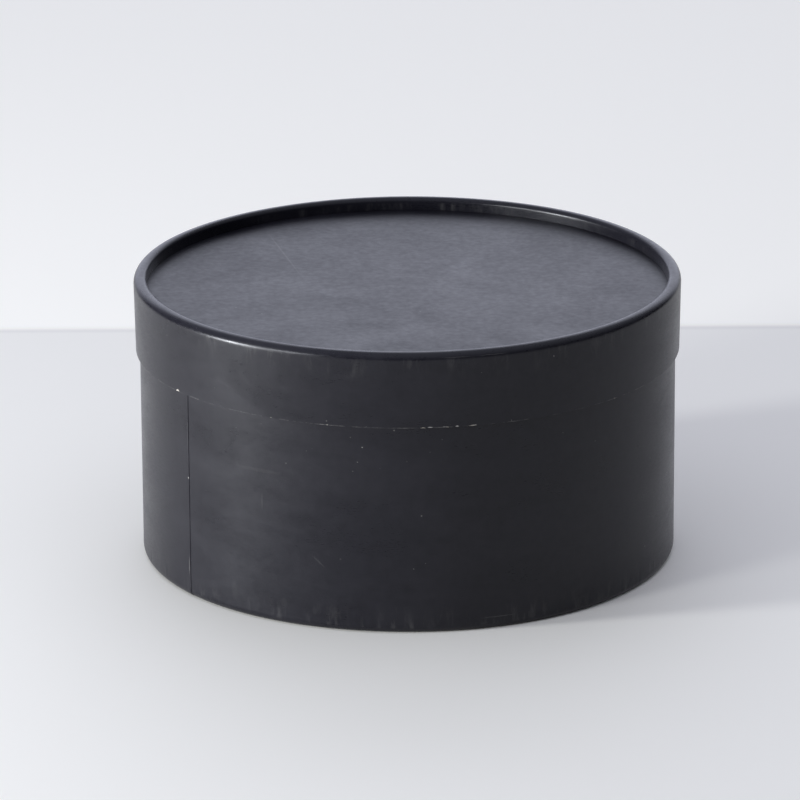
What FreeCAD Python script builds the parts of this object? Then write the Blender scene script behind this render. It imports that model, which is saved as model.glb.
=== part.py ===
import FreeCAD, Part
import os
import Sketcher

# A round hat box of wound paperboard: a straight drum with a lift-off lid.  Millimetres, +Z up,
# front is -Y.  The origin is the middle of the rolled foot that the box stands on.
#
# Each wall is a tube of three layers wound together: cover paper outside, board in the middle and
# lining paper inside.  The far end of the tube is rolled inwards, at the top of the lid and at the
# foot of the base, and the edge of the roll holds a round panel that is pushed in and glued.

SIZES = [
    ("lid_diameter", 200.0, "outside of the lid at its roll, where it is widest"),
    ("box_height", 104.9, "foot to the top of the lid's rolled rim"),
    ("skirt_height", 27.5, "lid skirt, rim to cut edge"),
    ("skirt_taper", 0.45, "how far the skirt draws in from its roll to its cut edge, on the radius"),
    ("lid_clearance", 0.4, "gap between the base and the lid skirt, all round"),
    ("cover_thickness", 0.2, "cover paper"),
    ("board_thickness", 0.75, "board of the walls"),
    ("lining_thickness", 0.12, "lining paper"),
    ("panel_thickness", 1.6, "board of the round panels"),
    ("lid_roll_shoulder", 2.7, "outer radius of the lid's roll on its wall side"),
    ("lid_roll_inside", 1.8, "outer radius of the lid's roll where it turns down to the panel"),
    ("lid_roll_flat", 0.3, "flat on top of the lid's rim"),
    ("lid_recess", 4.75, "lid panel below the top of the rim"),
    ("foot_roll_radius", 2.6, "outer radius of the rolled foot"),
    ("foot_roll_flat", 0.8, "flat under the foot, which the box stands on"),
    ("foot_recess", 5.2, "floor above the underside of the foot"),
    ("glue_gap", 0.1, "round a panel's edge, filled with glue"),
    ("seat_gap", 0.1, "lid panel above the mouth of the base"),
    ("lap_width", 8.0, "overlap where a cover paper's ends meet"),
    ("lid_lap_angle", 112.3, "middle of the lid's overlap, from +X towards +Y, in degrees"),
    ("base_lap_angle", 214.4, "middle of the base's overlap, from +X towards +Y, in degrees"),
]

# Sizes worked out from the sheet, as expressions.
WALL = "(Sizes.cover_thickness + Sizes.board_thickness + Sizes.lining_thickness)"
LID_RADIUS = "(Sizes.lid_diameter / 2)"
SKIRT_EDGE = "(Sizes.box_height - Sizes.skirt_height)"
SKIRT_EDGE_RADIUS = f"({LID_RADIUS} - Sizes.skirt_taper)"
LID_ROLL_HEIGHT = "(Sizes.box_height - Sizes.lid_roll_shoulder)"
SKIRT_SLOPE = f"(Sizes.skirt_taper / ({LID_ROLL_HEIGHT} - {SKIRT_EDGE}))"
BASE_RADIUS = f"({SKIRT_EDGE_RADIUS} - {WALL} - Sizes.lid_clearance)"
LID_FACING_TOP = "(Sizes.box_height - Sizes.lid_recess)"
LID_BOARD_TOP = f"({LID_FACING_TOP} - Sizes.cover_thickness)"
LID_BOARD_BOTTOM = f"({LID_BOARD_TOP} - Sizes.panel_thickness)"
LID_LINING_BOTTOM = f"({LID_BOARD_BOTTOM} - Sizes.lining_thickness)"
LID_PANEL_DRAW_IN = f"({SKIRT_SLOPE} * ({LID_ROLL_HEIGHT} - {LID_LINING_BOTTOM}))"
LID_PANEL_RADIUS = f"({LID_RADIUS} - {LID_PANEL_DRAW_IN} - {WALL} - Sizes.glue_gap)"
MOUTH = f"({LID_LINING_BOTTOM} - Sizes.seat_gap)"
FLOOR_RADIUS = f"({BASE_RADIUS} - {WALL} - Sizes.glue_gap)"
FLOOR_PAPER_BOTTOM = "Sizes.foot_recess"
FLOOR_BOARD_BOTTOM = f"({FLOOR_PAPER_BOTTOM} + Sizes.lining_thickness)"
FLOOR_BOARD_TOP = f"({FLOOR_BOARD_BOTTOM} + Sizes.panel_thickness)"

# The three layers of a wall: how far each one's two faces lie inside the outer surface.
LAYERS = {
    "cover": ("0", "Sizes.cover_thickness"),
    "board": ("Sizes.cover_thickness", "(Sizes.cover_thickness + Sizes.board_thickness)"),
    "lining": ("(Sizes.cover_thickness + Sizes.board_thickness)", WALL),
}

# The two tubes.  "up" is 1 where the tube rises from its roll and -1 where it hangs from it.
# "roll" is the bend next to the wall and "tail_roll" the one that turns back towards the panel.
LID_TUBE = {
    "radius": LID_RADIUS,
    "edge_radius": SKIRT_EDGE_RADIUS,
    "up": -1,
    "cut_edge": SKIRT_EDGE,
    "roll": "Sizes.lid_roll_shoulder",
    "tail_roll": "Sizes.lid_roll_inside",
    "roll_height": LID_ROLL_HEIGHT,
    "flat": "Sizes.lid_roll_flat",
    "tail_edge": LID_FACING_TOP,
    "lap_angle": "Sizes.lid_lap_angle",
}
BASE_TUBE = {
    "radius": BASE_RADIUS,
    "edge_radius": BASE_RADIUS,
    "up": 1,
    "cut_edge": MOUTH,
    "roll": "Sizes.foot_roll_radius",
    "tail_roll": "Sizes.foot_roll_radius",
    "roll_height": "Sizes.foot_roll_radius",
    "flat": "Sizes.foot_roll_flat",
    "tail_edge": FLOOR_PAPER_BOTTOM,
    "lap_angle": "Sizes.base_lap_angle",
}

ORIGIN = FreeCAD.Vector(0, 0, 0)
Z_AXIS = FreeCAD.Vector(0, 0, 1)
START, END, CENTRE = 1, 2, 3        # point numbers of a sketched edge
ORIGIN_POINT = (-1, START)          # the sketch's own origin

doc = FreeCAD.newDocument("HatBox")


def make_sheet():
    sheet = doc.addObject("Spreadsheet::Sheet", "Sizes")
    for row, (alias, size, note) in enumerate(SIZES, start=1):
        sheet.set(f"A{row}", note)
        sheet.set(f"B{row}", str(size))
        sheet.setAlias(f"B{row}", alias)
    doc.recompute()
    return sheet


def value(expression):
    return float(sheet.evalExpression(expression))


def new_body(name):
    body = doc.addObject("PartDesign::Body", name)
    body.Label = name
    body.Placement = FreeCAD.Placement()
    return body


def new_sketch(body, name, plane):
    sketch = body.newObject("Sketcher::SketchObject", name)
    origin_plane = next(item for item in body.Origin.OriginFeatures if item.Role == plane)
    sketch.AttachmentSupport = [(origin_plane, "")]
    sketch.MapMode = "FlatFace"
    return sketch


def add_dimension(sketch, name, expression, kind, *places):
    index = sketch.addConstraint(Sketcher.Constraint(kind, *places, value(expression)))
    sketch.renameConstraint(index, name)
    sketch.setExpression(f"Constraints.{name}", expression)


def join_ends(sketch, first, second, kind):
    pairs = [(here, there) for here in (START, END) for there in (START, END)]
    here, there = min(pairs, key=lambda pair: sketch.getPoint(first, pair[0]).distanceToPoint(
        sketch.getPoint(second, pair[1])))
    sketch.addConstraint(Sketcher.Constraint(kind, first, here, second, there))


def draw_tube_section(sketch, tube, layer):
    """One layer of a tube, cut along its length: wall, roll and the tail that turns back."""
    outer_face, inner_face = LAYERS[layer]
    up = tube["up"]
    radius, edge_radius, flat = value(tube["radius"]), value(tube["edge_radius"]), value(tube["flat"])
    roll, tail_roll = value(tube["roll"]), value(tube["tail_roll"])
    roll_height = value(tube["roll_height"])
    crown_height = roll_height - up * roll
    wall_centre = FreeCAD.Vector(radius - roll, roll_height, 0)
    tail_centre = FreeCAD.Vector(radius - roll - flat, crown_height + up * tail_roll, 0)
    cut_edge, tail_edge = value(tube["cut_edge"]), value(tube["tail_edge"])

    def straight(from_x, from_height, to_x, to_height):
        return Part.LineSegment(FreeCAD.Vector(from_x, from_height, 0), FreeCAD.Vector(to_x, to_height, 0))

    def quarter(centre, bend, side):
        beside, beyond = FreeCAD.Vector(side, 0, 0), FreeCAD.Vector(0, -up, 0)
        halfway = (beside + beyond).normalize()
        return Part.Arc(centre + beside * bend, centre + halfway * bend, centre + beyond * bend)

    def face(depth):
        """Wall, roll, flat, roll and tail of one face of the layer, in that order."""
        bend, tail_bend = roll - depth, tail_roll - depth
        crown = crown_height + up * depth
        tail_x = tail_centre.x - tail_bend
        return [
            straight(edge_radius - depth, cut_edge, wall_centre.x + bend, roll_height),
            quarter(wall_centre, bend, 1),
            straight(wall_centre.x, crown, tail_centre.x, crown),
            quarter(tail_centre, tail_bend, -1),
            straight(tail_x, tail_centre.y, tail_x, tail_edge),
        ]

    outer = face(value(outer_face))
    inner = face(value(inner_face))
    tail_end = Part.LineSegment(outer[-1].EndPoint, inner[-1].EndPoint)
    cut_end = Part.LineSegment(outer[0].StartPoint, inner[0].StartPoint)
    wall, wall_roll, roll_flat, tail_bend, tail = (sketch.addGeometry(edge) for edge in outer)
    wall_in, wall_roll_in, flat_in, tail_bend_in, tail_in = (sketch.addGeometry(edge) for edge in inner)
    tail_tip, cut_tip = sketch.addGeometry(tail_end), sketch.addGeometry(cut_end)

    for chain in ((wall, wall_roll, roll_flat, tail_bend, tail),
                  (wall_in, wall_roll_in, flat_in, tail_bend_in, tail_in)):
        join_ends(sketch, chain[0], chain[1], "Coincident")
        for first, second in zip(chain[1:], chain[2:]):
            join_ends(sketch, first, second, "Tangent")
    for first, second in ((tail, tail_tip), (tail_tip, tail_in), (wall_in, cut_tip), (cut_tip, wall)):
        join_ends(sketch, first, second, "Coincident")
    for line in (tail, tail_in):
        sketch.addConstraint(Sketcher.Constraint("Vertical", line))
    for line, bend in ((wall, wall_roll), (wall_in, wall_roll_in)):
        sketch.addConstraint(Sketcher.Constraint("Horizontal", line, END, bend, CENTRE))
    for line in (roll_flat, flat_in, tail_tip, cut_tip):
        sketch.addConstraint(Sketcher.Constraint("Horizontal", line))
    for outside, inside in ((wall_roll, wall_roll_in), (tail_bend, tail_bend_in)):
        sketch.addConstraint(Sketcher.Constraint("Coincident", outside, CENTRE, inside, CENTRE))

    add_dimension(sketch, "edge_radius", f"{tube['edge_radius']} - {outer_face}", "DistanceX",
                  *ORIGIN_POINT, wall, START)
    add_dimension(sketch, "edge_radius_inside", f"{tube['edge_radius']} - {inner_face}", "DistanceX",
                  *ORIGIN_POINT, wall_in, START)
    add_dimension(sketch, "roll_centre_radius", f"{tube['radius']} - {tube['roll']}", "DistanceX",
                  *ORIGIN_POINT, wall_roll, CENTRE)
    add_dimension(sketch, "cut_edge_height", tube["cut_edge"], "DistanceY", *ORIGIN_POINT, wall, START)
    add_dimension(sketch, "roll_height", tube["roll_height"], "DistanceY",
                  *ORIGIN_POINT, wall_roll, CENTRE)
    add_dimension(sketch, "roll_flat", tube["flat"], "DistanceX", tail_bend, CENTRE, wall_roll, CENTRE)
    add_dimension(sketch, "outer_bend", f"{tube['roll']} - {outer_face}", "Radius", wall_roll)
    add_dimension(sketch, "inner_bend", f"{tube['roll']} - {inner_face}", "Radius", wall_roll_in)
    add_dimension(sketch, "tail_bend", f"{tube['tail_roll']} - {outer_face}", "Radius", tail_bend)
    add_dimension(sketch, "tail_edge_height", tube["tail_edge"], "DistanceY", *ORIGIN_POINT, tail, END)


def revolve(body, sketch, name):
    turn = body.newObject("PartDesign::Revolution", name)
    turn.Profile = sketch
    turn.ReferenceAxis = (sketch, ["V_Axis"])
    return turn


def make_tube_layer(name, tube, layer):
    body = new_body(name)
    section = new_sketch(body, f"{name}_section", "XZ_Plane")
    draw_tube_section(section, tube, layer)
    revolve(body, section, f"{name}_turn").Angle = 360
    return body


def add_lap(body, tube):
    """The cover paper's outer end, glued down over its inner end, from cut edge to roll."""
    section = new_sketch(body, f"{body.Label}_lap_section", "XZ_Plane")
    section.AttachmentOffset = FreeCAD.Placement(ORIGIN, FreeCAD.Rotation(FreeCAD.Vector(0, 1, 0), 1))
    section.setExpression("AttachmentOffset.Rotation.Angle", tube["lap_angle"])
    ends = [(tube["cut_edge"], tube["edge_radius"]), (tube["roll_height"], tube["radius"])]
    (low, low_radius), (high, high_radius) = sorted(ends, key=lambda end: value(end[0]))
    paper = value("Sizes.cover_thickness")
    corners = [FreeCAD.Vector(value(low_radius), value(low), 0),
               FreeCAD.Vector(value(low_radius) + paper, value(low), 0),
               FreeCAD.Vector(value(high_radius) + paper, value(high), 0),
               FreeCAD.Vector(value(high_radius), value(high), 0)]
    bottom, outer_side, top, inner_side = edges = [
        section.addGeometry(Part.LineSegment(here, there))
        for here, there in zip(corners, corners[1:] + corners[:1])]
    for first, second in zip(edges, edges[1:] + edges[:1]):
        section.addConstraint(Sketcher.Constraint("Coincident", first, END, second, START))
    for line in (bottom, top):
        section.addConstraint(Sketcher.Constraint("Horizontal", line))
    add_dimension(section, "low_radius", low_radius, "DistanceX", *ORIGIN_POINT, bottom, START)
    add_dimension(section, "high_radius", high_radius, "DistanceX", *ORIGIN_POINT, top, END)
    add_dimension(section, "low_paper", "Sizes.cover_thickness", "DistanceX", bottom, START, bottom, END)
    add_dimension(section, "high_paper", "Sizes.cover_thickness", "DistanceX", top, END, top, START)
    add_dimension(section, "low_end", low, "DistanceY", *ORIGIN_POINT, bottom, START)
    add_dimension(section, "high_end", high, "DistanceY", *ORIGIN_POINT, top, START)
    turn = revolve(body, section, f"{body.Label}_lap")
    turn.Midplane = True
    turn.setExpression("Angle", f"Sizes.lap_width / {tube['radius']} * 180 / pi")


def make_disc(name, radius, bottom, thickness):
    body = new_body(name)
    outline = new_sketch(body, f"{name}_outline", "XY_Plane")
    circle = outline.addGeometry(Part.Circle(ORIGIN, Z_AXIS, value(radius)))
    outline.addConstraint(Sketcher.Constraint("Coincident", circle, CENTRE, *ORIGIN_POINT))
    add_dimension(outline, "disc_radius", radius, "Radius", circle)
    outline.setExpression("AttachmentOffset.Base.z", bottom)
    pad = body.newObject("PartDesign::Pad", f"{name}_pad")
    pad.Profile = outline
    pad.setExpression("Length", thickness)
    return body


def make_lid():
    cover = make_tube_layer("lid_skirt_cover", LID_TUBE, "cover")
    add_lap(cover, LID_TUBE)
    return [
        cover,
        make_tube_layer("lid_skirt_board", LID_TUBE, "board"),
        make_tube_layer("lid_skirt_lining", LID_TUBE, "lining"),
        make_disc("lid_panel_facing", LID_PANEL_RADIUS, LID_BOARD_TOP, "Sizes.cover_thickness"),
        make_disc("lid_panel_board", LID_PANEL_RADIUS, LID_BOARD_BOTTOM, "Sizes.panel_thickness"),
        make_disc("lid_panel_lining", LID_PANEL_RADIUS, LID_LINING_BOTTOM, "Sizes.lining_thickness"),
    ]


def make_base():
    cover = make_tube_layer("base_wall_cover", BASE_TUBE, "cover")
    add_lap(cover, BASE_TUBE)
    return [
        cover,
        make_tube_layer("base_wall_board", BASE_TUBE, "board"),
        make_tube_layer("base_wall_lining", BASE_TUBE, "lining"),
        make_disc("floor_lining", FLOOR_RADIUS, FLOOR_BOARD_TOP, "Sizes.lining_thickness"),
        make_disc("floor_board", FLOOR_RADIUS, FLOOR_BOARD_BOTTOM, "Sizes.panel_thickness"),
        make_disc("floor_underside_paper", FLOOR_RADIUS, FLOOR_PAPER_BOTTOM, "Sizes.lining_thickness"),
    ]


def check_document():
    for item in doc.Objects:
        if "Invalid" in item.State or "Error" in item.State:
            raise RuntimeError(f"{item.Label} did not rebuild: {item.State}")


def check_body(body):
    if body.Shape.isNull() or not body.Shape.isValid() or len(body.Shape.Solids) != 1:
        raise RuntimeError(f"{body.Label} is not one sound solid")


sheet = make_sheet()
pieces = make_lid() + make_base()
doc.recompute()
check_document()
os.makedirs("parts", exist_ok=True)
for piece in pieces:
    check_body(piece)
    piece.Shape.exportStep(f"parts/{piece.Label}.step")
    box = piece.Shape.optimalBoundingBox()
    print(f"{piece.Label}: {piece.Shape.Volume:.1f} mm3, {box.XLength:.2f} x {box.YLength:.2f} x "
          f"{box.ZLength:.2f}, from z = {box.ZMin:.2f}")
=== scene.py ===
import math
import random

import bpy
import numpy as np
from mathutils import Matrix, Vector


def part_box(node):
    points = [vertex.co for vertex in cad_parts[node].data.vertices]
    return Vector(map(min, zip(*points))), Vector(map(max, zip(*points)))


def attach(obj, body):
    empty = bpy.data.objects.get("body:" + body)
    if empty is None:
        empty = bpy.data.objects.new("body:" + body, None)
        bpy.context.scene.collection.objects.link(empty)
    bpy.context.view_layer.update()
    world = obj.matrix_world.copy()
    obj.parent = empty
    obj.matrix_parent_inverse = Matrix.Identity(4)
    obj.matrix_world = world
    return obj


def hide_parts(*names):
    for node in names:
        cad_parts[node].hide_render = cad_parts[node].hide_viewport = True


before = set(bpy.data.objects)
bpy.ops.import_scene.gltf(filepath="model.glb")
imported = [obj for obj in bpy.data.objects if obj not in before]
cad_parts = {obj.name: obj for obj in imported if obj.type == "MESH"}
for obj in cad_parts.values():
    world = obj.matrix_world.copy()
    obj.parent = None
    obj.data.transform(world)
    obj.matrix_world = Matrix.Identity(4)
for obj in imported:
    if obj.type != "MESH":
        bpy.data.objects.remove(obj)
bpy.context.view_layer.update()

mm = 0.001

# What the frame says, and one cut through each of the two wound tubes.
# Every layer of a wall is a pair of depths below its outer face.
lidLow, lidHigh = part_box("lid_skirt_cover")
baseLow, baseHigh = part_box("base_wall_cover")
layerDepths = {"cover": (0.0, 0.2 * mm), "board": (0.2 * mm, 0.95 * mm), "lining": (0.95 * mm, 1.07 * mm)}

lidTube = {
    "radius": lidHigh.x,
    "taper": 0.45 * mm,                         # how far the skirt draws in towards its cut edge
    "up": -1,                                   # hangs down from its roll
    "cutEdge": lidLow.z,
    "crown": lidHigh.z,
    "roll": 2.7 * mm,
    "tailRoll": 1.8 * mm,
    "flat": 0.3 * mm,
    "tailEdge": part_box("lid_panel_facing")[1].z,
}
baseTube = {
    "radius": baseHigh.x,
    "taper": 0.0,
    "up": 1,                                    # stands on its roll
    "cutEdge": baseHigh.z,
    "crown": baseLow.z,
    "roll": 2.6 * mm,
    "tailRoll": 2.6 * mm,
    "flat": 0.8 * mm,
    "tailEdge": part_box("floor_underside_paper")[0].z,
}
print("frame loaded, box", round(lidHigh.z / mm, 2), "mm tall")


# Shapes

def smoothStep(low, high, value):
    part = np.clip((value - low) / (high - low), 0.0, 1.0)
    return part * part * (3.0 - 2.0 * part)


def angleGap(angle, centre):
    return (angle - centre + math.pi) % (2.0 * math.pi) - math.pi


def roundWaves(angle, seed, turns, height):
    # a smooth wander round the box that closes on itself
    rng = random.Random(seed)
    total = np.zeros_like(angle)
    for count in turns:
        total = total + np.cos(count * angle + rng.uniform(0.0, 2.0 * math.pi)) * rng.uniform(0.5, 1.0)
    return total * height / len(turns)


def sheetWaves(x, y, seed, lengths, height):
    # a gentle unevenness over a flat sheet, in any direction
    rng = random.Random(seed)
    total = np.zeros_like(x)
    for length in lengths:
        heading = rng.uniform(0.0, math.pi)
        phase = rng.uniform(0.0, 2.0 * math.pi)
        along = x * math.cos(heading) + y * math.sin(heading)
        total = total + np.cos(2.0 * math.pi * along / length + phase)
    return total * height / len(lengths)


def columnsRound(count, freeEdges=()):
    # angles of the mesh's columns, with a tight pair at each paper edge so that it stays a crisp step
    hairWidth = math.radians(0.012)
    angles = [2.0 * math.pi * k / count for k in range(count)]
    clear = math.pi / count * 0.6
    angles = [a for a in angles if all(abs(angleGap(a, edge)) > clear for edge in freeEdges)]
    for edge in freeEdges:
        angles += [(edge - hairWidth) % (2.0 * math.pi), (edge + hairWidth) % (2.0 * math.pi)]
    return np.array(sorted(angles))


def faceOfLayer(tube, depth, rows):
    # radius, height and outward direction along one face: wall from its cut edge, roll, tail
    up = tube["up"]
    bend, tailBend = tube["roll"] - depth, tube["tailRoll"] - depth
    rollHeight = tube["crown"] + up * tube["roll"]
    tailHeight = tube["crown"] + up * tube["tailRoll"]
    wallCentre = tube["radius"] - tube["roll"]
    tailCentre = wallCentre - tube["flat"]
    wallLength = rollHeight - tube["cutEdge"]
    wallRadius = tube["radius"] - depth
    points = [
        (wallRadius - tube["taper"] * (1.0 - part), tube["cutEdge"] + wallLength * part, 1.0, 0.0)
        for part in rows["wall"]
    ]
    for k in range(1, rows["bend"] + 1):
        turn = 0.5 * math.pi * k / rows["bend"]
        points.append((wallCentre + bend * math.cos(turn), rollHeight - up * bend * math.sin(turn),
                       math.cos(turn), -up * math.sin(turn)))
    for k in range(rows["bend"] + 1):
        turn = 0.5 * math.pi * k / rows["bend"]
        radius = tailCentre - tailBend * math.sin(turn)
        height = tailHeight - up * tailBend * math.cos(turn)
        points.append((radius, height, -math.sin(turn), -up * math.cos(turn)))
    for k in range(1, rows["tail"] + 1):
        height = tailHeight + (tube["tailEdge"] - tailHeight) * k / rows["tail"]
        points.append((tailCentre - tailBend, height, -1.0, 0.0))
    return points


def wallRows(tube, plainRows, edgeRows):
    # heights of the wall's rows as parts of its length, close together near the cut edge and the roll
    wallLength = abs(tube["crown"] + tube["up"] * tube["roll"] - tube["cutEdge"])
    edgeZone = 1.6 * mm / wallLength
    rollZone = 1.0 - min(0.4, 6.0 * mm / wallLength)
    return ([edgeZone * k / edgeRows for k in range(edgeRows)]
            + [edgeZone + (rollZone - edgeZone) * k / plainRows for k in range(plainRows)]
            + [rollZone + (1.0 - rollZone) * k / 12 for k in range(13)])


def meshPiece(name, corners, faces, slots, materials, sharp=35.0):
    mesh = bpy.data.meshes.new(name)
    mesh.from_pydata(corners.tolist(), [], faces)
    mesh.polygons.foreach_set("material_index", slots)
    for material in materials:
        mesh.materials.append(material)
    mesh.shade_smooth()
    mesh.set_sharp_from_angle(angle=math.radians(sharp))
    mesh.validate()
    piece = bpy.data.objects.new(name, mesh)
    bpy.context.scene.collection.objects.link(piece)
    return piece


def woundLayer(name, tube, layer, rows, columns, relief, materials):
    # one closed tube of paper or board.  relief(angle, section) gives how far each point stands proud
    # of its place, along the layer's outward direction, and how far it shifts in height
    outerDepth, innerDepth = layerDepths[layer]
    outer = faceOfLayer(tube, outerDepth, rows)
    inner = faceOfLayer(tube, innerDepth, rows)[::-1]
    points = np.array(outer + inner)
    count, ring = len(columns), len(points)
    section = {
        "height": points[None, :, 1],
        "outerFace": np.array([1.0] * len(outer) + [0.0] * len(inner))[None, :],
        "fromEdge": np.abs(points[None, :, 1] - tube["cutEdge"]),
        "wallLike": np.clip(points[None, :, 2], 0.0, 1.0),
    }
    angle = columns[:, None]
    proud, raised = relief(angle, section)
    radius = points[None, :, 0] + points[None, :, 2] * proud
    height = points[None, :, 1] + points[None, :, 3] * proud + raised
    height = np.clip(height, *sorted((tube["crown"], tube["cutEdge"])))
    corners = np.stack([radius * np.cos(angle), radius * np.sin(angle), height + 0.0 * angle], axis=2)
    corners = corners.reshape(-1, 3)
    faces, slots = [], []
    edgeStrips = (len(outer) - 1, ring - 1)     # the tail's tip and the cut edge
    for i in range(count):
        here, there = i * ring, ((i + 1) % count) * ring
        for j in range(ring):
            k = (j + 1) % ring
            quad = (here + j, there + j, there + k, here + k)
            faces.append(quad if tube["up"] < 0 else quad[::-1])
            slots.append(1 if j in edgeStrips else 0)
    return meshPiece(name, corners, faces, slots, materials)


def roundSheet(name, node, sheet, relief, materials):
    # one closed disc of paper: relief lifts its top, its underside is level and it has a thin rim
    low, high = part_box(node)
    columnCount = sheet["columns"]
    rings = max(2, round(high.x / sheet["ringStep"]))
    radii = np.linspace(high.x / rings, high.x, rings)
    angle = np.arange(columnCount) * 2.0 * math.pi / columnCount
    x = radii[:, None] * np.cos(angle)[None, :]
    y = radii[:, None] * np.sin(angle)[None, :]
    top = np.stack([x, y, high.z + relief(x, y)], axis=2).reshape(-1, 3)
    under = np.stack([x, y, low.z + relief(x, y) * 0.0], axis=2).reshape(-1, 3)
    middle = relief(np.zeros(1), np.zeros(1))[0]
    corners = np.vstack([top, under, [[0.0, 0.0, high.z + middle], [0.0, 0.0, low.z]]])
    topMiddle, underMiddle, shift = len(corners) - 2, len(corners) - 1, rings * columnCount
    faces, slots = [], []
    for i in range(columnCount):
        j = (i + 1) % columnCount
        faces += [(topMiddle, i, j), (underMiddle, shift + j, shift + i)]
        slots += [0, 0]
        for k in range(rings - 1):
            a, b = k * columnCount, (k + 1) * columnCount
            faces.append((a + i, b + i, b + j, a + j))
            faces.append((shift + a + j, shift + b + j, shift + b + i, shift + a + i))
            slots += [0, 0]
        rim = (rings - 1) * columnCount
        faces.append((rim + i, shift + rim + i, shift + rim + j, rim + j))
        slots.append(1)
    return meshPiece(name, corners, faces, slots, materials)


# Materials

def newMaterial(name, roughness, ior=1.45):
    material = bpy.data.materials.new(name)
    material.use_nodes = True
    shader = material.node_tree.nodes["Principled BSDF"]
    shader.inputs["Roughness"].default_value = roughness
    shader.inputs["IOR"].default_value = ior
    return material, material.node_tree, shader


def addNode(tree, kind, inputs=None, **settings):
    node = tree.nodes.new(kind)
    for key, setting in settings.items():
        setattr(node, key, setting)
    for key, source in (inputs or {}).items():
        if isinstance(source, bpy.types.NodeSocket):
            tree.links.new(source, node.inputs[key])
        else:
            node.inputs[key].default_value = source
    return node


def objectPlace(tree, stretch=(1.0, 1.0, 1.0)):
    place = addNode(tree, "ShaderNodeTexCoord").outputs["Object"]
    if stretch == (1.0, 1.0, 1.0):
        return place
    return addNode(tree, "ShaderNodeMapping", {"Vector": place, "Scale": stretch}).outputs["Vector"]


def noiseOf(tree, place, scale, detail=3.0, rough=0.55, distortion=0.0):
    return addNode(tree, "ShaderNodeTexNoise", {
        "Vector": place, "Scale": scale, "Detail": detail, "Roughness": rough, "Distortion": distortion,
    }).outputs["Fac"]


def rangeOf(tree, value, fromLow, fromHigh, toLow, toHigh):
    return addNode(tree, "ShaderNodeMapRange", {
        "Value": value, "From Min": fromLow, "From Max": fromHigh, "To Min": toLow, "To Max": toHigh,
    }).outputs["Result"]


def mathOf(tree, operation, first, second):
    return addNode(tree, "ShaderNodeMath", {0: first, 1: second}, operation=operation).outputs["Value"]


def vectorOf(tree, operation, inputs):
    return addNode(tree, "ShaderNodeVectorMath", inputs, operation=operation).outputs["Vector"]


def lengthOf(tree, vector):
    return addNode(tree, "ShaderNodeVectorMath", {0: vector}, operation="LENGTH").outputs["Value"]


def heightOf(tree, place):
    return addNode(tree, "ShaderNodeSeparateXYZ", {"Vector": place}).outputs["Z"]


def blendOf(tree, factor, first, second):
    node = addNode(tree, "ShaderNodeMix", data_type="RGBA")
    for key, source in ((0, factor), (6, first), (7, second)):
        if isinstance(source, bpy.types.NodeSocket):
            tree.links.new(source, node.inputs[key])
        else:
            node.inputs[key].default_value = source
    return node.outputs[2]


def bumpOf(tree, height, strength, distance, below=None):
    inputs = {"Height": height, "Strength": strength, "Distance": distance}
    if below is not None:
        inputs["Normal"] = below
    return addNode(tree, "ShaderNodeBump", inputs).outputs["Normal"]


def raggedPlace(tree, place, scale, reach):
    # the same place, shaken a little, so that marks have torn outlines
    shake = addNode(tree, "ShaderNodeTexNoise", {"Vector": place, "Scale": scale, "Detail": 2.0})
    centred = vectorOf(tree, "SUBTRACT", {0: shake.outputs["Color"], 1: (0.5, 0.5, 0.5)})
    small = vectorOf(tree, "SCALE", {0: centred, "Scale": reach})
    return vectorOf(tree, "ADD", {0: place, 1: small})


def marksOf(tree, place, marks):
    # each mark is a flat oval at a place on the paper; together they give one mask, 0 to 1
    total = None
    for centre, turn, size, tone in marks:
        inside = addNode(tree, "ShaderNodeMapping", {
            "Vector": place, "Location": centre, "Rotation": turn, "Scale": size,
        }, vector_type="TEXTURE").outputs["Vector"]
        mask = rangeOf(tree, lengthOf(tree, inside), 1.0, 0.55, 0.0, tone)
        total = mask if total is None else mathOf(tree, "MAXIMUM", total, mask)
    return total


def wallMarks(radius, marks):
    # marks on a wall: angle in degrees, height, width and tallness in mm, lean in degrees, tone
    placed = []
    for degrees, height, width, tall, lean, tone in marks:
        angle = math.radians(degrees)
        centre = (radius * math.cos(angle), radius * math.sin(angle), height * mm)
        size = (1.0 * mm, width / 2 * mm, tall / 2 * mm)
        placed.append((centre, (math.radians(lean), 0.0, angle), size, tone))
    return placed


def topMarks(height, marks):
    # marks on a level sheet: x, y, length and width in mm, heading in degrees, tone
    placed = []
    for x, y, length, width, heading, tone in marks:
        size = (length / 2 * mm, width / 2 * mm, 1.0 * mm)
        placed.append(((x * mm, y * mm, height), (0.0, 0.0, math.radians(heading)), size, tone))
    return placed


coverLook = {
    "ink": (0.0064, 0.0062, 0.0096, 1.0),
    "inkDusty": (0.0128, 0.0124, 0.0168, 1.0),
    "core": (0.60, 0.58, 0.54, 1.0),
    "smudgeGloss": 0.08,                        # how much duller the paper is where hands have smudged it
    "rubbed": 0.03,                             # how much smoother it is where it is drawn over a roll
    "dust": 0.16,
}


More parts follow.
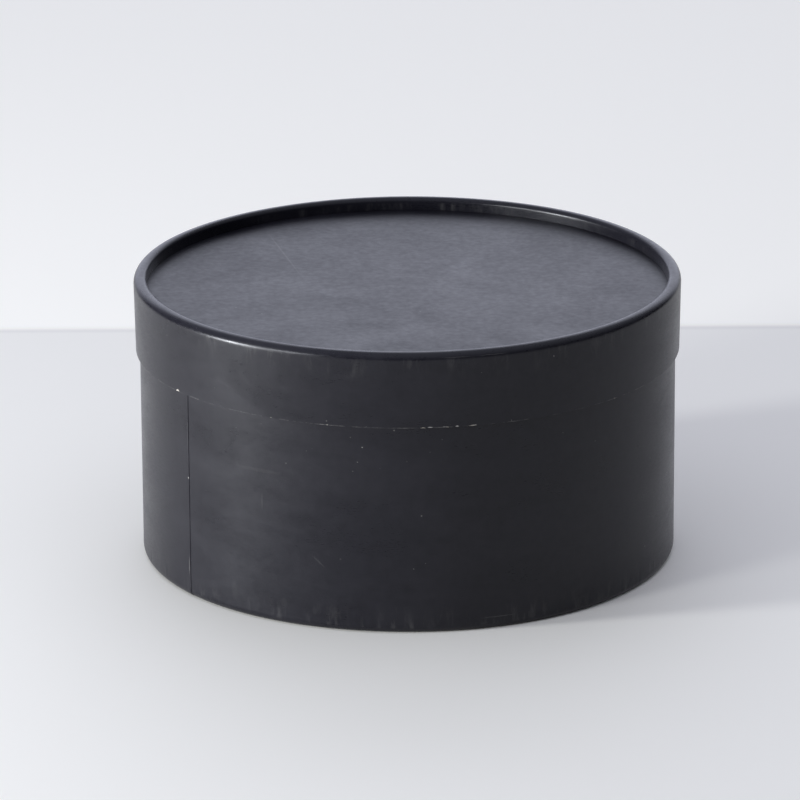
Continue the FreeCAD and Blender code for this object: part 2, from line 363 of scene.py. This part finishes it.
def coverPaper(name, gloss, mottled, marks, wornEdge=None, roll=None):
    # black paper with a soft matt coating; where it is worn or torn its pale core shows, and one pale mark
    # on the base is a painted highlight
    material, tree, shader = newMaterial(name, 0.38, 1.35)
    place = objectPlace(tree)
    mottle = noiseOf(tree, place, 260.0, 5.0, 0.62)
    smudges = noiseOf(tree, objectPlace(tree, (1.0, 1.0, 2.6)), 26.0, 6.0, 0.66, 0.6)
    grain = noiseOf(tree, place, 2400.0, 2.0)
    fibres = noiseOf(tree, objectPlace(tree, (1.0, 1.0, 7.0)), 420.0, 4.0, 0.6)
    smudged = rangeOf(tree, smudges, 0.36, 0.66, 0.0, 1.0)
    dusty = mathOf(tree, "ADD", mathOf(tree, "MULTIPLY", smudged, 0.6),
                   rangeOf(tree, mottle, 0.3, 0.8, -0.1, 0.5))
    ink = blendOf(tree, dusty, coverLook["ink"], coverLook["inkDusty"])
    wearAndHighlight = dustOn(tree, place)
    ragged = raggedPlace(tree, place, 1500.0, 0.5 * mm)
    if marks:
        wearAndHighlight = mathOf(tree, "MAXIMUM", wearAndHighlight, marksOf(tree, ragged, marks))
    if wornEdge:
        wearAndHighlight = mathOf(tree, "MAXIMUM", wearAndHighlight, edgeWear(tree, place, ragged, wornEdge))
    if roll:
        wearAndHighlight = mathOf(tree, "MAXIMUM", wearAndHighlight, rollRub(tree, place, roll))
    tree.links.new(blendOf(tree, wearAndHighlight, ink, coverLook["core"]), shader.inputs["Base Color"])
    rough = mathOf(tree, "ADD", rangeOf(tree, fibres, 0.3, 0.7, gloss - 0.045, gloss + 0.045),
                   mathOf(tree, "MULTIPLY", smudged, coverLook["smudgeGloss"]))
    if roll:
        rough = mathOf(tree, "SUBTRACT", rough, rollGloss(tree, place, roll))
    rough = mathOf(tree, "ADD", rough, mathOf(tree, "MULTIPLY", wearAndHighlight, 0.35))
    tree.links.new(rough, shader.inputs["Roughness"])
    soft = bumpOf(tree, mottle, mottled, 0.025 * mm)
    fine = bumpOf(tree, grain, 0.25, 0.006 * mm, soft)
    tree.links.new(bumpOf(tree, fibres, 0.25, 0.01 * mm, fine), shader.inputs["Normal"])
    return material


def dustOn(tree, place):
    # a few fine pale specks, one in ten of the cells
    specks = addNode(tree, "ShaderNodeTexVoronoi", {"Vector": place, "Scale": 210.0, "Randomness": 1.0})
    speckSize = rangeOf(tree, specks.outputs["Distance"], 0.08, 0.03, 0.0, 1.0)
    speckPick = addNode(tree, "ShaderNodeSeparateColor", {"Color": specks.outputs["Color"]}).outputs["Red"]
    shown = rangeOf(tree, speckPick, 0.88, 0.97, 0.0, coverLook["dust"])
    return mathOf(tree, "MULTIPLY", speckSize, shown)


def rollGloss(tree, place, roll):
    # the coating is stretched and polished where the paper is drawn over the roll and down its tail
    step = roll["way"] * mm
    height = heightOf(tree, place)
    over = rangeOf(tree, height, roll["start"] - 0.4 * step, roll["start"] + 0.5 * step, 0.0, 1.0)
    radius = lengthOf(tree, vectorOf(tree, "MULTIPLY", {0: place, 1: (1.0, 1.0, 0.0)}))
    tail = rangeOf(tree, radius, roll["tailRadius"] + 0.4 * mm, roll["tailRadius"], 0.0, 1.0)
    return mathOf(tree, "MULTIPLY", mathOf(tree, "MAXIMUM", over, tail), coverLook["rubbed"])


def rollRub(tree, place, roll):
    # upright rub marks left by the rolling tool on the wall beside the roll
    height = heightOf(tree, place)
    step = roll["way"] * mm
    streaks = noiseOf(tree, objectPlace(tree, (1.0, 1.0, 0.22)), 330.0, 5.0, 0.7, 0.2)
    patches = noiseOf(tree, objectPlace(tree, (1.0, 1.0, 0.6)), 70.0, 2.0)
    pressed = mathOf(tree, "MULTIPLY", rangeOf(tree, streaks, 0.50, 0.78, 0.0, 1.0),
                     rangeOf(tree, patches, 0.42, 0.62, 0.0, 1.0))
    reach = roll["rubReach"] * roll["way"]
    fade = rangeOf(tree, height, roll["start"] - reach, roll["start"], 0.0, roll["rubTone"])
    inside = rangeOf(tree, height, roll["start"] + 0.2 * step, roll["start"] + 1.2 * step, 1.0, 0.0)
    return mathOf(tree, "MULTIPLY", mathOf(tree, "MULTIPLY", pressed, fade), inside)


def edgeWear(tree, place, ragged, wornEdge):
    # rubbing along a level edge: a broken pale line, strongest on the edge itself
    distance = mathOf(tree, "SUBTRACT", heightOf(tree, ragged), wornEdge["height"])
    distance = mathOf(tree, "ABSOLUTE", distance, 0.0)
    line = rangeOf(tree, distance, wornEdge["width"], 0.3 * wornEdge["width"], 0.0, 1.0)
    patches = noiseOf(tree, place, wornEdge["patchScale"], 4.0, 0.7)
    strength = rangeOf(tree, patches, *wornEdge["patches"], 0.0, wornEdge["tone"])
    return mathOf(tree, "MULTIPLY", line, strength)


paperTones = {
    "coreGrimy": (0.075, 0.073, 0.072, 1.0), "coreClean": (0.50, 0.48, 0.45, 1.0),
    "boardDark": (0.30, 0.275, 0.24, 1.0), "boardPale": (0.46, 0.43, 0.38, 1.0),
    "boardFleck": (0.14, 0.125, 0.11, 1.0),
    "liningDark": (0.0165, 0.0165, 0.0175, 1.0), "liningPale": (0.038, 0.038, 0.039, 1.0),
}


def paperCore(name):
    # the cut edge of the cover paper: pale fibres, greyed by handling
    material, tree, shader = newMaterial(name, 0.85)
    place = objectPlace(tree)
    grime = noiseOf(tree, place, 380.0, 5.0, 0.7)
    clean = rangeOf(tree, grime, 0.35, 0.62, 0.0, 1.0)
    colour = blendOf(tree, clean, paperTones["coreGrimy"], paperTones["coreClean"])
    tree.links.new(colour, shader.inputs["Base Color"])
    tree.links.new(bumpOf(tree, grime, 0.6, 0.05 * mm), shader.inputs["Normal"])
    return material


def greyBoard(name):
    # recycled board: grey-buff pulp with darker and paler fibres
    material, tree, shader = newMaterial(name, 0.92)
    place = objectPlace(tree)
    pulp = noiseOf(tree, place, 700.0, 6.0, 0.65)
    fleckPlace = objectPlace(tree, (1.0, 1.0, 3.0))
    flecks = addNode(tree, "ShaderNodeTexVoronoi", {"Vector": fleckPlace, "Scale": 900.0})
    fleck = rangeOf(tree, flecks.outputs["Distance"], 0.22, 0.10, 0.0, 0.7)
    pale = rangeOf(tree, pulp, 0.3, 0.7, 0.0, 1.0)
    base = blendOf(tree, pale, paperTones["boardDark"], paperTones["boardPale"])
    tree.links.new(blendOf(tree, fleck, base, paperTones["boardFleck"]), shader.inputs["Base Color"])
    tree.links.new(bumpOf(tree, pulp, 0.7, 0.06 * mm), shader.inputs["Normal"])
    return material


def liningPaper(name):
    # uncoated black paper, matt, with its fibres showing
    material, tree, shader = newMaterial(name, 0.8)
    place = objectPlace(tree)
    felt = noiseOf(tree, place, 520.0, 6.0, 0.7, 0.3)
    strands = noiseOf(tree, objectPlace(tree, (1.0, 1.0, 0.25)), 900.0, 4.0, 0.6)
    pale = rangeOf(tree, felt, 0.3, 0.72, 0.0, 1.0)
    colour = blendOf(tree, pale, paperTones["liningDark"], paperTones["liningPale"])
    tree.links.new(colour, shader.inputs["Base Color"])
    tree.links.new(rangeOf(tree, strands, 0.3, 0.7, 0.72, 0.9), shader.inputs["Roughness"])
    rough = bumpOf(tree, felt, 0.5, 0.04 * mm)
    tree.links.new(bumpOf(tree, strands, 0.35, 0.02 * mm, rough), shader.inputs["Normal"])
    return material


coreEdge = paperCore("paperCore")
board = greyBoard("greyBoard")
lining = liningPaper("liningPaper")
print("materials made")


# Lid

lidSkirt = {
    "columns": 1200,
    "freeEdge": math.radians(114.6),            # where the cover's outer end stops, at the back
    "lapWidth": 8.0 * mm,
    "lapRise": 0.11 * mm,
    "outOfRound": 0.06 * mm,
    "wrinkles": 130,
    "chips": [(206, 0.6, 0.2), (214.2, 1.4, 0.8), (221.3, 0.6, 0.2), (240.9, 0.6, 0.2),
              (253.3, 0.7, 0.25), (273, 1.2, 0.35), (278, 0.8, 0.3), (283, 1.4, 0.35), (317.7, 0.7, 0.3),
              (36, 1.1, 0.6), (71, 0.8, 0.4), (128, 1.5, 0.7), (163, 0.9, 0.4)],
}


def lapRise(angle, fromEdge, paper, radius):
    # the paper's outer end: it climbs over the inner end and stops at a crisp edge
    back = -angleGap(angle, paper["freeEdge"]) * radius
    climb = smoothStep(paper["lapWidth"], 0.0, back) * (back > 0.0)
    dip = np.exp(-(back / (0.5 * mm)) ** 2) * (back <= 0.0)
    return paper["lapRise"] * (climb - 0.3 * dip) * np.ones_like(fromEdge)


def wrinkleSet(seed, count, zone, lengths, widths, heights):
    rng = random.Random(seed)
    creases = []
    for _ in range(count):
        crease = {"angle": rng.uniform(0.0, 2.0 * math.pi), "height": rng.uniform(*zone)}
        crease["long"] = rng.uniform(*lengths)
        crease["wide"] = rng.uniform(*widths)
        crease["rise"] = rng.uniform(*heights) * rng.choice((-1.0, 1.0, 1.0))
        creases.append(crease)
    return creases


def wrinkleRelief(angle, height, wrinkles, radius):
    total = np.zeros((angle.shape[0], height.shape[1]))
    for crease in wrinkles:
        across = np.exp(-(angleGap(angle, crease["angle"]) * radius / crease["wide"]) ** 2)
        along = np.exp(-((height - crease["height"]) / crease["long"]) ** 2)
        total = total + crease["rise"] * across * along
    return total


def chipRelief(angle, section, chips, radius):
    # small bites out of the cover paper's cut edge
    fromEdge = section["fromEdge"]
    total = np.zeros((angle.shape[0], fromEdge.shape[1]))
    for degrees, width, depth in chips:
        across = np.exp(-(angleGap(angle, math.radians(degrees)) * radius / (width * mm / 1.6)) ** 2)
        total = total + depth * mm * across * np.clip(1.0 - fromEdge / (1.6 * mm), 0.0, 1.0)
    return total


rollTop = lidTube["crown"] - lidTube["roll"]
rimCreases = wrinkleSet(
    11, lidSkirt["wrinkles"], (rollTop - 2.2 * mm, rollTop + 1.2 * mm), (0.6 * mm, 1.5 * mm),
    (0.35 * mm, 1.1 * mm), (0.006 * mm, 0.028 * mm))


def lidRound(angle):
    return roundWaves(angle, 5, (2, 3, 4, 7), lidSkirt["outOfRound"])


def skirtCoverRelief(angle, section):
    fromEdge, outside = section["fromEdge"], section["outerFace"]
    onWall = smoothStep(0.2, 0.9, section["wallLike"])
    lap = lapRise(angle, fromEdge, lidSkirt, lidTube["radius"])
    creases = wrinkleRelief(angle, section["height"], rimCreases, lidTube["radius"])
    tailSide = 1.0 - smoothStep(0.0, 0.5, section["wallLike"])
    pleats = roundWaves(angle, 21, (181, 233, 307, 149, 263), 0.012 * mm) * tailSide
    proud = lidRound(angle) + outside * (lap * onWall + creases + pleats)
    return proud, chipRelief(angle, section, lidSkirt["chips"], lidTube["radius"])


def plainRelief(roundness):
    # board and lining follow the out-of-round only
    def relief(angle, section):
        return roundness(angle) * np.ones_like(section["height"]), np.zeros((angle.shape[0], 1))
    return relief


lidMarks = wallMarks(lidTube["radius"], [
    (206, 77.7, 0.5, 0.3, 0, 0.08), (214, 77.8, 1.0, 0.6, 0, 0.9), (221.5, 77.6, 0.5, 0.3, 0, 0.06),
    (228, 77.7, 0.5, 0.3, 0, 0.09), (241, 77.7, 0.5, 0.3, 0, 0.06), (253.5, 77.7, 0.5, 0.3, 0, 0.2),
    (261.5, 77.7, 0.5, 0.3, 0, 0.15), (274.5, 77.7, 2.6, 0.4, 0, 0.5), (277.5, 77.7, 2.4, 0.3, 0, 0.4),
    (280, 77.7, 1.6, 0.4, 0, 0.7), (283.5, 77.7, 2.4, 0.4, 0, 0.6), (291.5, 78, 0.4, 0.4, 0, 0.35),
    (226.5, 83.9, 0.4, 0.4, 0, 0.12), (285, 96.9, 0.4, 0.4, 0, 0.12), (280, 103.2, 15, 0.3, 0, 0.05),
    (287.5, 103.2, 14, 0.3, 0, 0.05), (301, 99.4, 0.5, 0.5, 0, 0.4),
    (16, 77.8, 0.7, 0.4, 0, 0.3), (36, 77.8, 1.0, 0.6, 0, 0.6), (71, 77.8, 0.6, 0.4, 0, 0.25),
    (98, 77.7, 2.2, 0.3, 0, 0.4), (128, 77.9, 1.2, 0.6, 0, 0.7), (163, 77.8, 0.7, 0.4, 0, 0.3),
    (345, 77.8, 0.6, 0.4, 0, 0.25),
])
skirtWear = {
    "height": lidTube["cutEdge"] + 0.05 * mm, "width": 0.28 * mm,
    "patchScale": 160.0, "patches": (0.46, 0.72), "tone": 0.16,
}
lidRoll = {
    "start": rollTop, "way": 1.0, "rubReach": 8.0 * mm, "rubTone": 0.075,
    "tailRadius": lidTube["radius"] - lidTube["roll"] - lidTube["flat"],
}
skirtCover = coverPaper("skirtCoverPaper", 0.295, 0.6, lidMarks, skirtWear, lidRoll)
coverRows = {"wall": wallRows(lidTube, 8, 5), "bend": 8, "tail": 3}
lidEdges = columnsRound(lidSkirt["columns"], (lidSkirt["freeEdge"],))
lidSkirtCover = woundLayer(
    "lidSkirtCover", lidTube, "cover", coverRows, lidEdges, skirtCoverRelief, [skirtCover, coreEdge])
print("lid cover made")

plainRows = {"wall": wallRows(lidTube, 4, 2), "bend": 5, "tail": 2}
plainColumns = columnsRound(480)
lidSkirtBoard = woundLayer(
    "lidSkirtBoard", lidTube, "board", plainRows, plainColumns, plainRelief(lidRound), [board, board])
lidSkirtLining = woundLayer(
    "lidSkirtLining", lidTube, "lining", plainRows, plainColumns, plainRelief(lidRound), [lining, coreEdge])

topPanel = {"sag": 0.05 * mm, "ringStep": 2.5 * mm, "columns": 360}
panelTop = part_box("lid_panel_facing")[1].z
panelMarks = topMarks(panelTop, [
    (-45.5, 37.5, 60, 0.9, -76.5, 0.055), (38, -84.5, 0.6, 0.4, 0, 0.5), (52, 20, 18, 0.4, 12, 0.015),
])
panelCover = coverPaper("panelCoverPaper", 0.36, 0.42, panelMarks)


def panelRelief(x, y):
    uneven = sheetWaves(x, y, 3, (64 * mm, 41 * mm, 29 * mm, 18 * mm), topPanel["sag"])
    return uneven - topPanel["sag"]


def evenSheet(x, y):
    return 0.0 * x


linerSheet = {"ringStep": 4.0 * mm, "columns": 240}
lidPanelFacing = roundSheet(
    "lidPanelFacing", "lid_panel_facing", topPanel, panelRelief, [panelCover, coreEdge])
lidPanelLining = roundSheet("lidPanelLining", "lid_panel_lining", linerSheet, evenSheet, [lining, coreEdge])
for piece, node, slot in (
        (lidSkirtCover, "lid_skirt_cover", "cover_paper"), (lidSkirtBoard, "lid_skirt_board", "grey_board"),
        (lidSkirtLining, "lid_skirt_lining", "lining_paper"),
        (lidPanelFacing, "lid_panel_facing", "cover_paper"),
        (lidPanelLining, "lid_panel_lining", "lining_paper")):
    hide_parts(node)
    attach(piece, "lid")
print("lid made")


# Base

baseWall = {
    "columns": 1200,
    "freeEdge": math.radians(216.7),
    "lapWidth": 8.0 * mm,
    "lapRise": 0.12 * mm,
    "outOfRound": 0.05 * mm,
    "wrinkles": 150,
}
footTop = baseTube["crown"] + baseTube["roll"]
footCreases = wrinkleSet(
    23, baseWall["wrinkles"], (footTop - 0.5 * mm, footTop + 3.2 * mm), (0.8 * mm, 2.0 * mm),
    (0.4 * mm, 1.3 * mm), (0.015 * mm, 0.06 * mm))


def baseRound(angle):
    return roundWaves(angle, 9, (2, 3, 5, 8), baseWall["outOfRound"])


def wallCoverRelief(angle, section):
    fromEdge, outside = section["fromEdge"], section["outerFace"]
    onWall = smoothStep(0.2, 0.9, section["wallLike"])
    lap = lapRise(angle, fromEdge, baseWall, baseTube["radius"])
    creases = wrinkleRelief(angle, section["height"], footCreases, baseTube["radius"])
    tailSide = 1.0 - smoothStep(0.0, 0.5, section["wallLike"])
    pleats = roundWaves(angle, 31, (167, 211, 283, 139, 251), 0.03 * mm) * tailSide
    proud = baseRound(angle) + outside * (lap * onWall + creases + pleats)
    return proud, np.zeros((angle.shape[0], 1))


baseMarks = wallMarks(baseTube["radius"], [
    (231.5, 70.5, 0.4, 0.4, 0, 0.10), (238, 74, 0.4, 0.4, 0, 0.08), (248.5, 66.5, 0.4, 0.4, 0, 0.12),
    (258, 73, 0.4, 0.4, 0, 0.10), (260.5, 69.5, 0.5, 0.5, 0, 0.35), (259.5, 64, 0.5, 0.4, 0, 0.18),
    (258.5, 60.5, 0.4, 0.4, 0, 0.12), (271, 24.5, 0.5, 0.4, 0, 0.22), (273.5, 26.5, 0.4, 0.4, 0, 0.14),
    (277, 72.5, 0.4, 0.4, 0, 0.08), (274.5, 68, 0.4, 0.4, 0, 0.08), (304, 69.5, 0.9, 0.4, 0, 0.06),
    (216.5, 45.5, 0.6, 0.9, 0, 0.5), (216.3, 12, 0.6, 8.0, 0, 0.10), (216.4, 62, 0.4, 14.0, 0, 0.03),
    (237, 56.5, 26.0, 1.6, 1, 0.010), (251, 25.5, 7.0, 0.7, -40, 0.022), (238, 45, 0.9, 7.0, 0, 0.014),
    (230.5, 9.0, 3.5, 9.0, 0, 0.008), (243, 8, 3.0, 5.0, 0, 0.008), (250, 7, 2.0, 4.0, 0, 0.008),
    # painted highlight: this thin pale line stands for the light caught along the top of the foot roll
    (289, 4.6, 16, 0.35, 0, 0.06),
    (20, 39.5, 0.5, 0.5, 0, 0.2), (62, 57.5, 9.0, 0.6, 25, 0.02), (104, 31, 0.5, 0.5, 0, 0.15),
    (151, 22, 0.6, 0.5, 0, 0.2), (333, 47.5, 0.5, 0.4, 0, 0.15),
])
footRoll = {
    "start": footTop, "way": -1.0, "rubReach": 8.0 * mm, "rubTone": 0.085,
    "tailRadius": baseTube["radius"] - baseTube["roll"] - baseTube["flat"],
}
wallCover = coverPaper("wallCoverPaper", 0.295, 0.6, baseMarks, None, footRoll)
baseRows = {"wall": wallRows(baseTube, 18, 3), "bend": 8, "tail": 3}
baseEdges = columnsRound(baseWall["columns"], (baseWall["freeEdge"],))
baseWallCover = woundLayer(
    "baseWallCover", baseTube, "cover", baseRows, baseEdges, wallCoverRelief, [wallCover, coreEdge])
plainBaseRows = {"wall": wallRows(baseTube, 8, 2), "bend": 5, "tail": 2}
baseWallBoard = woundLayer(
    "baseWallBoard", baseTube, "board", plainBaseRows, plainColumns, plainRelief(baseRound), [board, board])
baseWallLining = woundLayer(
    "baseWallLining", baseTube, "lining", plainBaseRows, plainColumns, plainRelief(baseRound),
    [lining, coreEdge])
floorLining = roundSheet("floorLining", "floor_lining", linerSheet, evenSheet, [lining, coreEdge])
floorUnderside = roundSheet(
    "floorUnderside", "floor_underside_paper", linerSheet, evenSheet, [lining, coreEdge])
for piece, node, slot in (
        (baseWallCover, "base_wall_cover", "cover_paper"), (baseWallBoard, "base_wall_board", "grey_board"),
        (baseWallLining, "base_wall_lining", "lining_paper"), (floorLining, "floor_lining", "lining_paper"),
        (floorUnderside, "floor_underside_paper", "lining_paper")):
    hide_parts(node)
    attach(piece, "base")
for node in ("lid_panel_board", "floor_board"):
    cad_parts[node].data.materials.clear()
    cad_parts[node].data.materials.append(board)
print("base made")


# Studio

studio = {
    "floorSize": 14.0,
    "floorColour": (0.92, 0.90, 0.82, 1.0),
    "farColour": (0.98, 0.96, 0.87, 1.0),      # past the line where the sweep starts to rise
    "paintedFarGlow": 0.09,                            # painted light: past the line the floor glows by emission, as though lit
    # painted shade: a darker band of floor colour along the line, for the shade where the floor meets the
    # sweep
    "shadeLineColour": (0.84, 0.82, 0.75, 1.0),
    "linePlace": 262.0 * mm,
    "lineWidth": 7.0 * mm,
    "lamps": {                                  # turn: degrees round from the camera's side to the left
        "lampSide": {"turn": 73.0, "rise": 7.0, "distance": 1.35, "size": 0.20, "power": 24.5},
        "lampFront": {"turn": 50.0, "rise": 15.0, "distance": 1.6, "size": 0.30, "power": 9.0},
    },
    "lampColour": (0.92, 0.95, 1.0),
    "roomColour": (0.83, 0.86, 1.02, 1.0),
    "roomDark": 0.01,
    "glows": {                                  # soft bright parts of the room: where, and how they fade
        "wallBehind": {"turn": 180.0, "rise": 13.0, "edge": 0.75, "full": 0.93, "strength": 1.60},
        "ceiling": {"turn": 0.0, "rise": 90.0, "edge": 0.2, "full": 0.9, "strength": 0.85},
    },
}


def headingOf(turn, rise):
    turn, rise = math.radians(turn), math.radians(rise)
    return Vector((-math.sin(turn) * math.cos(rise), -math.cos(turn) * math.cos(rise), math.sin(rise)))


floorMesh = bpy.data.meshes.new("studioFloor")
half = studio["floorSize"] / 2
floorCorners = [(-half, -half, 0), (half, -half, 0), (half, half, 0), (-half, half, 0)]
floorMesh.from_pydata(floorCorners, [], [(0, 1, 2, 3)])
studioFloor = bpy.data.objects.new("studioFloor", floorMesh)
bpy.context.scene.collection.objects.link(studioFloor)
floorMaterial, floorTree, floorShader = newMaterial("studioFloor", 0.75)
floorPlace = addNode(floorTree, "ShaderNodeSeparateXYZ", {"Vector": objectPlace(floorTree)}).outputs["Y"]
fromLine = mathOf(floorTree, "SUBTRACT", floorPlace, studio["linePlace"])
pastLine = rangeOf(floorTree, fromLine, 0.0, studio["lineWidth"], 0.0, 1.0)
# painted shade: the floor colour is darkened in a band along the line
lineGap = mathOf(floorTree, "ABSOLUTE", fromLine, 0.0)
onShadeLine = rangeOf(floorTree, lineGap, 0.0, studio["lineWidth"] / 2, 1.0, 0.0)
floorTone = blendOf(floorTree, pastLine, studio["floorColour"], studio["farColour"])
floorTone = blendOf(floorTree, onShadeLine, floorTone, studio["shadeLineColour"])
floorTree.links.new(floorTone, floorShader.inputs["Base Color"])
# painted light: past the line the floor glows by emission
paintedFarLight = mathOf(floorTree, "MULTIPLY", pastLine, studio["paintedFarGlow"])
floorTree.links.new(paintedFarLight, floorShader.inputs["Emission Strength"])
floorShader.inputs["Emission Color"].default_value = studio["farColour"]
floorMesh.materials.append(floorMaterial)


def studioLamp(name, turn, rise, distance, size, power):
    data = bpy.data.lights.new(name, "AREA")
    data.shape = "DISK"
    data.size = size
    data.energy = power
    data.color = studio["lampColour"]
    lamp = bpy.data.objects.new(name, data)
    bpy.context.scene.collection.objects.link(lamp)
    out = headingOf(turn, rise)
    lamp.location = out * distance
    lamp.rotation_euler = out.to_track_quat("Z", "Y").to_euler()
    return lamp


for name, lamp in studio["lamps"].items():
    studioLamp(name, **lamp)


def roomGlow(tree, direction, turn, rise, edge, full, strength):
    facing = addNode(tree, "ShaderNodeVectorMath", {0: direction, 1: headingOf(turn, rise)},
                     operation="DOT_PRODUCT").outputs["Value"]
    return rangeOf(tree, facing, edge, full, 0.0, strength)


world = bpy.data.worlds.new("studio")
bpy.context.scene.world = world
world.use_nodes = True
worldTree = world.node_tree
direction = addNode(worldTree, "ShaderNodeTexCoord").outputs["Generated"]
roomLight = studio["roomDark"]
for glow in studio["glows"].values():
    roomLight = mathOf(worldTree, "ADD", roomLight, roomGlow(worldTree, direction, **glow))
worldShader = worldTree.nodes["Background"]
worldTree.links.new(roomLight, worldShader.inputs["Strength"])
worldShader.inputs["Color"].default_value = studio["roomColour"]

view = {
    "lens": 270.8, "distance": 2.2144, "elevation": 18.22, "roll": -0.32,
    "centreHeight": 52.9 * mm, "aim": (-2.9 * mm, 0.0, 55.3 * mm),
}
cameraData = bpy.data.cameras.new("camera")
cameraData.lens, cameraData.sensor_width = view["lens"], 36.0
cameraData.clip_start, cameraData.clip_end = 0.1, 50.0
camera = bpy.data.objects.new("camera", cameraData)
bpy.context.scene.collection.objects.link(camera)
rise = math.radians(view["elevation"])
camera.location = view["distance"] * Vector((0.0, -math.cos(rise), math.sin(rise)))
camera.location.z += view["centreHeight"]
look = (Vector(view["aim"]) - camera.location).to_track_quat("-Z", "Y").to_matrix()
camera.rotation_euler = (look @ Matrix.Rotation(math.radians(view["roll"]), 3, "Z")).to_euler()
bpy.context.scene.camera = camera
bpy.context.scene.view_settings.view_transform = "Standard"
print("studio made")
